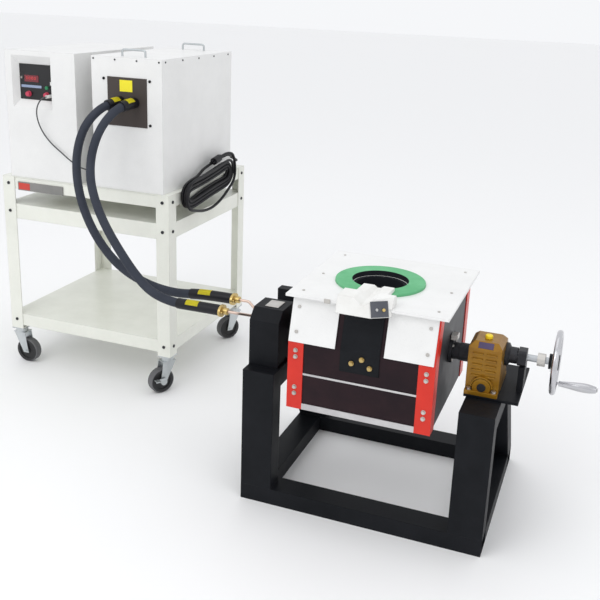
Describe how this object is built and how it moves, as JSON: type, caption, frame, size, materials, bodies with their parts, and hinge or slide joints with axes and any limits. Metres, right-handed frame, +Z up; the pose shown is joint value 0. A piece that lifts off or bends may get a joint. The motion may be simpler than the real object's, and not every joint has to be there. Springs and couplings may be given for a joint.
{
  "type": "electric gold melting furnace",
  "caption": "Tilting induction furnace in a steel stand with worm gearbox and handwheel, fed by two heavy leads from a power unit on a wheeled cart.",
  "frame": {"origin": "floor level, at the middle of the underside of the furnace stand's front beam", "axes": "+X along the tilting shaft towards the handwheel, +Y to the back, +Z up"},
  "size_m": [2.3402, 1.2463, 1.303],
  "materials": {
    "black_steel": "satin black paint",
    "cart_paint": "ivory enamel, light orange peel",
    "cabinet_paint": "light grey powder coat",
    "red_paint": "vermilion gloss enamel",
    "grey_panel": "dark grey satin paint",
    "white_panel": "white gloss enamel",
    "bakelite": "dark brown phenolic board",
    "aluminium_bar": "brushed",
    "refractory_white": "cast refractory, matt",
    "refractory_green": "green ramming cement, matt",
    "graphite": "graphite clay, matt",
    "copper_tube": "drawn copper",
    "brass_fitting": "turned brass",
    "steel_bolt": "zinc plated",
    "bearing_steel": "machined",
    "bronze_paint": "bronze gold paint",
    "dark_iron": "dark grey cast iron",
    "chrome_rim": "polished chrome",
    "yellow_cap": "yellow moulded cap",
    "zinc_plate": "bright zinc plate",
    "wheel_rubber": "black rubber",
    "panel_black": "black panel film",
    "red_window": "red display window",
    "knob_plastic": "red moulded knob",
    "button_green": "green moulded button",
    "lead_hose": "slate rubber hose with cloth imprint",
    "sleeve_black": "black shrink sleeve",
    "cable_black": "black cable jacket",
    "cable_grey": "dark grey cable jacket",
    "insulating_plate": "dark brown insulating plate",
    "electronics": "dull internal blocks"
  },
  "bodies": {
    "stand": {"bearing_cheeks": "black_steel", "cabinet_handles": "zinc_plate", "cart_frame": "cart_paint", "cart_shelves": "cart_paint", "caster_mounts": "zinc_plate", "control_lead": "cable_grey", "control_panel": "panel_black", "display_window": "red_window", "gearbox_covers": "bronze_paint", "gearbox_housing": "bronze_paint", "gearbox_plate": "black_steel", "generator_cabinet": "cabinet_paint", "heat_station_cabinet": "cabinet_paint", "input_flange": "dark_iron", "lead_sleeves": "sleeve_black", "mains_hank": "cable_black", "mains_lead": "cable_black", "mains_plug": "cable_black", "oil_breather": "yellow_cap", "outboard_bearing": "dark_iron", "pillow_block": "bearing_steel", "power_electronics": "electronics", "power_lead_inner": "lead_hose", "power_lead_outer": "lead_hose", "stand_frame": "black_steel", "terminal_plate": "insulating_plate"},
    "furnace": {"corner_posts": "red_paint", "side_panels": "grey_panel", "bakelite_boards": "bakelite", "aluminium_rails": "aluminium_bar", "top_plate": "white_panel", "refractory_ring": "refractory_green", "front_covers": "white_panel", "apron_plate": "black_steel", "brass_nuts": "brass_fitting", "spout_block": "refractory_white", "crucible": "graphite", "furnace_lining": "refractory_white", "induction_coil": "copper_tube", "trunnions": "dark_iron", "output_shaft": "dark_iron", "box_bolts": "steel_bolt", "cover_screws": "steel_bolt", "lead_terminals": "brass_fitting"},
    "handwheel": {"handwheel": "chrome_rim", "input_shaft": "bearing_steel"},
    "crank_grip": {"crank_grip": "chrome_rim"},
    "cross_worm": {"cross_worm": "bearing_steel"},
    "knob_left": {"knob_left": "knob_plastic"},
    "knob_right": {"knob_right": "knob_plastic"},
    "start_button": {"start_button": "button_green"},
    "brake_pedal": {"brake_pedal": "zinc_plate"},
    "swivel_front_left": {"caster_fork_front_left": "zinc_plate"},
    "wheel_front_left": {"caster_wheel_front_left": "wheel_rubber"},
    "swivel_front_right": {"caster_fork_front_right": "zinc_plate"},
    "wheel_front_right": {"caster_wheel_front_right": "wheel_rubber"},
    "swivel_rear_right": {"caster_fork_rear_right": "zinc_plate"},
    "wheel_rear_right": {"caster_wheel_rear_right": "wheel_rubber"},
    "swivel_rear_left": {"caster_fork_rear_left": "zinc_plate"},
    "wheel_rear_left": {"caster_wheel_rear_left": "wheel_rubber"}
  },
  "joints": [
    {"name": "furnace_tilt", "type": "hinge", "parent": "stand", "child": "furnace", "pos_m": [0, 0.176, 0.525], "axis": [1, 0, 0], "range_deg": [0, 95]},
    {"name": "handwheel_turn", "type": "hinge", "parent": "stand", "child": "handwheel", "pos_m": [0, 0.176, 0.542], "axis": [1, 0, 0], "range_deg": [0, 2850]},
    {"name": "worm_turn", "type": "hinge", "parent": "stand", "child": "cross_worm", "pos_m": [0.314, 0.176, 0.469], "axis": [0, 1, 0], "range_deg": [0, 2850]},
    {"name": "grip_spin", "type": "hinge", "parent": "handwheel", "child": "crank_grip", "pos_m": [0.56, 0.20989, 0.46405], "axis": [1, 0, 0], "continuous": true},
    {"name": "swivel_front_left", "type": "hinge", "parent": "stand", "child": "swivel_front_left", "pos_m": [-1.6375, 0.5285, 0.13], "axis": [0, 0, 1], "continuous": true},
    {"name": "roll_front_left", "type": "hinge", "parent": "swivel_front_left", "child": "wheel_front_left", "pos_m": [-1.6075, 0.5285, 0.05], "axis": [0, 1, 0], "continuous": true},
    {"name": "swivel_front_right", "type": "hinge", "parent": "stand", "child": "swivel_front_right", "pos_m": [-0.9525, 0.5285, 0.13], "axis": [0, 0, 1], "continuous": true},
    {"name": "roll_front_right", "type": "hinge", "parent": "swivel_front_right", "child": "wheel_front_right", "pos_m": [-0.9684, 0.50306, 0.05], "axis": [0.848, -0.5299, 0], "continuous": true},
    {"name": "swivel_rear_right", "type": "hinge", "parent": "stand", "child": "swivel_rear_right", "pos_m": [-0.9525, 1.1335, 0.13], "axis": [0, 0, 1], "continuous": true},
    {"name": "roll_rear_right", "type": "hinge", "parent": "swivel_rear_right", "child": "wheel_rear_right", "pos_m": [-0.96971, 1.10892, 0.05], "axis": [0.8192, -0.5736, 0], "continuous": true},
    {"name": "swivel_rear_left", "type": "hinge", "parent": "stand", "child": "swivel_rear_left", "pos_m": [-1.6375, 1.1335, 0.13], "axis": [0, 0, 1], "continuous": true},
    {"name": "roll_rear_left", "type": "hinge", "parent": "swivel_rear_left", "child": "wheel_rear_left", "pos_m": [-1.66569, 1.12324, 0.05], "axis": [0.342, -0.9397, 0], "continuous": true},
    {"name": "brake_press", "type": "hinge", "parent": "swivel_front_right", "child": "brake_pedal", "pos_m": [-0.9684, 0.50306, 0.05], "axis": [0.848, -0.5299, 0], "range_deg": [0, 18]},
    {"name": "knob_left_turn", "type": "hinge", "parent": "stand", "child": "knob_left", "pos_m": [-1.538, 0.52, 1.113], "axis": [0, 1, 0], "range_deg": [0, 270]},
    {"name": "knob_right_turn", "type": "hinge", "parent": "stand", "child": "knob_right", "pos_m": [-1.457, 0.52, 1.113], "axis": [0, 1, 0], "range_deg": [0, 270]},
    {"name": "start_press", "type": "slide", "parent": "stand", "child": "start_button", "axis": [0, 1, 0], "range_m": [0, 0.0018], "stiffness_N_per_m": 300}
  ],
  "couplings": [
    {"joint": "handwheel_turn", "follows": "furnace_tilt", "ratio": 30},
    {"joint": "worm_turn", "follows": "furnace_tilt", "ratio": 30}
  ]
}
